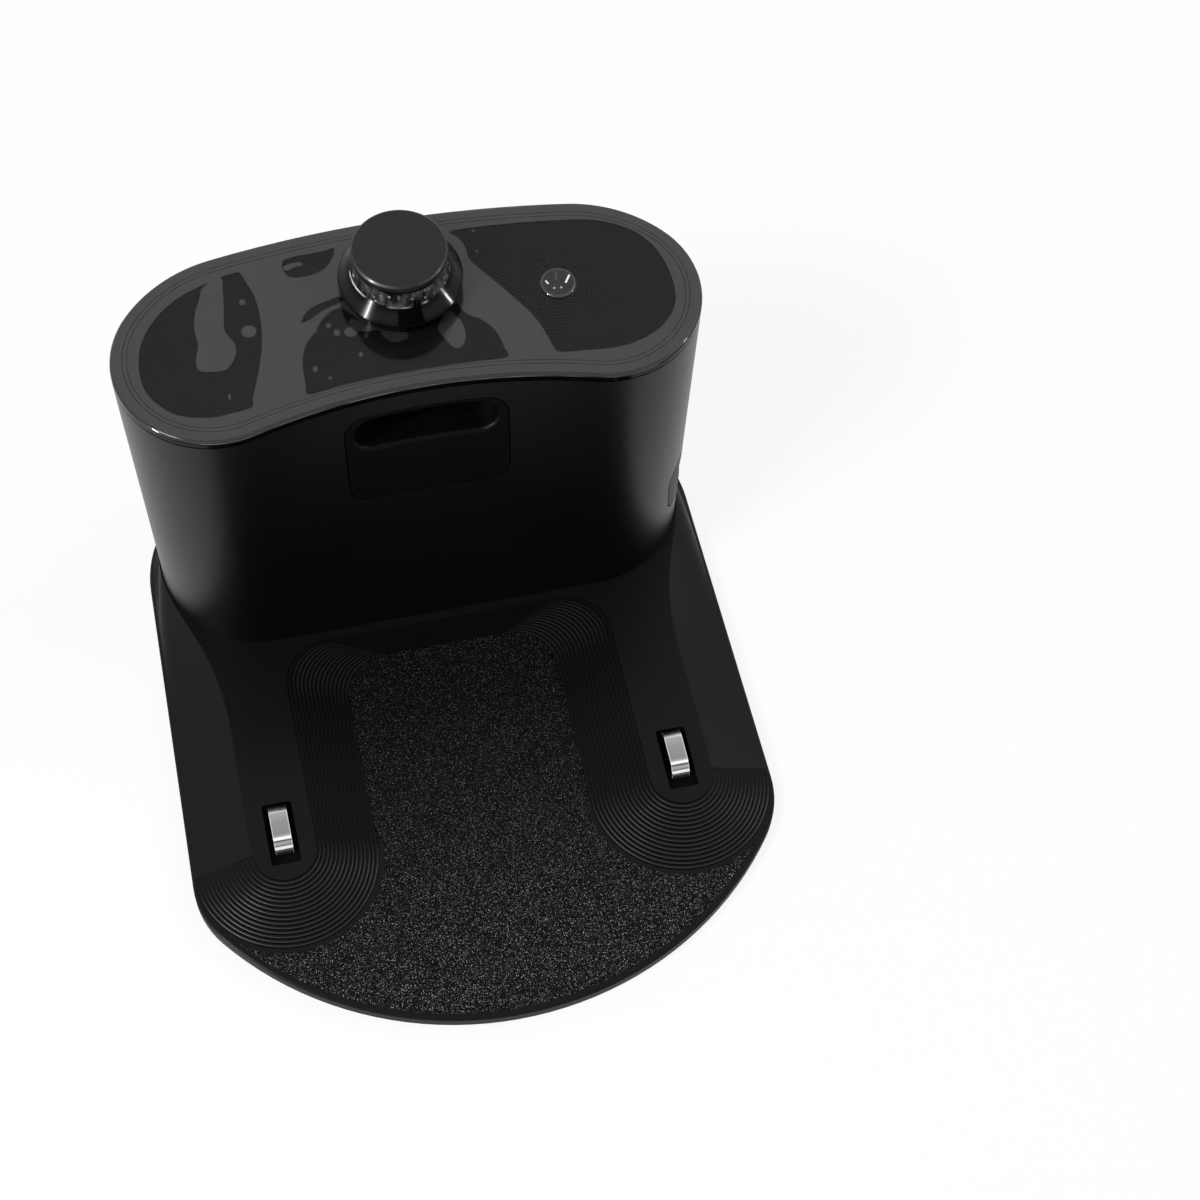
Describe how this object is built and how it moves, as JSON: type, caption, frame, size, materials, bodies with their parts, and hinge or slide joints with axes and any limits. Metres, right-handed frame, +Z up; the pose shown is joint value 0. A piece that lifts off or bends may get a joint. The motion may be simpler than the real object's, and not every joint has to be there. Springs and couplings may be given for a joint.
{
  "type": "robot vacuum charging station",
  "caption": "Low floor dock for a robot vacuum: terraced deck with sprung charging contacts, lofted tower with signal slot, film-covered lid with beacon, mains inlet.",
  "frame": {"origin": "on the floor under the middle of the base", "axes": "+X to the right seen from the front, -Y the front that the robot drives up to, +Z up"},
  "size_m": [0.1704, 0.197, 0.1316],
  "materials": {
    "satin_black": "fine satin black moulding, grained on the low apron",
    "gloss_black": "polished black lid",
    "clear_film": "clear shipping film, partly lifted",
    "soft_black": "matt black inner moulding",
    "clear_dark": "dark clear moulding that passes infrared light",
    "clear_lens": "clear moulded lens",
    "nickel": "bright nickel plate",
    "steel": "zinc-plated steel",
    "foot_rubber": "matt rubber",
    "board_green": "solder-masked board",
    "fuse_glass": "glass tube with bright caps",
    "wound_copper": "enamelled copper winding",
    "ferrite": "sintered ferrite",
    "can_sleeve": "shrink sleeve on a can",
    "tape_yellow": "polyester tape over the winding",
    "sink_metal": "extruded aluminium",
    "chip_black": "moulded epoxy",
    "lead_sleeve": "flexible insulation"
  },
  "bodies": {
    "station": {"base_deck": "satin_black", "bottom_cover": "satin_black", "tower_shell": "satin_black", "slot_bezel": "satin_black", "beacon_cap": "satin_black", "mains_inlet": "satin_black", "top_cover": "gloss_black", "protective_film": "clear_film", "emitter_holder": "soft_black", "beacon_lens": "clear_dark", "homing_emitter_left": "clear_lens", "homing_emitter_right": "clear_lens", "beacon_emitter": "clear_lens", "indicator_lamp": "clear_lens", "indicator_lens": "clear_lens", "inlet_pins": "nickel", "spring_terminal_left": "nickel", "spring_terminal_right": "nickel", "beacon_reflector": "nickel", "contact_spring_left": "steel", "contact_spring_right": "steel", "case_screws": "steel", "foot_front_left": "foot_rubber", "foot_front_right": "foot_rubber", "foot_back_left": "foot_rubber", "foot_back_right": "foot_rubber", "main_board": "board_green", "lid_board": "board_green", "emitter_board": "board_green", "fuse": "fuse_glass", "filter_choke": "wound_copper", "transformer_core": "ferrite", "transformer_winding": "tape_yellow", "bulk_capacitor": "can_sleeve", "output_capacitors": "can_sleeve", "heat_sink": "sink_metal", "bridge_rectifier": "chip_black", "switch_transistor": "chip_black", "control_chip": "chip_black", "contact_lead_left": "lead_sleeve", "contact_lead_right": "lead_sleeve", "emitter_cable": "lead_sleeve", "lid_cable": "lead_sleeve"},
    "contact_left": {"contact_strip_left": "nickel", "contact_carrier_left": "soft_black"},
    "contact_right": {"contact_strip_right": "nickel", "contact_carrier_right": "soft_black"}
  },
  "joints": [
    {"name": "contact_press_left", "type": "slide", "parent": "station", "child": "contact_left", "axis": [0, 0, 1], "range_m": [-0.002, 0], "stiffness_N_per_m": 400, "springref_m": 0.001, "deforming": ["contact_spring_left"]},
    {"name": "contact_press_right", "type": "slide", "parent": "station", "child": "contact_right", "axis": [0, 0, 1], "range_m": [-0.002, 0], "stiffness_N_per_m": 400, "springref_m": 0.001, "deforming": ["contact_spring_right"]}
  ]
}
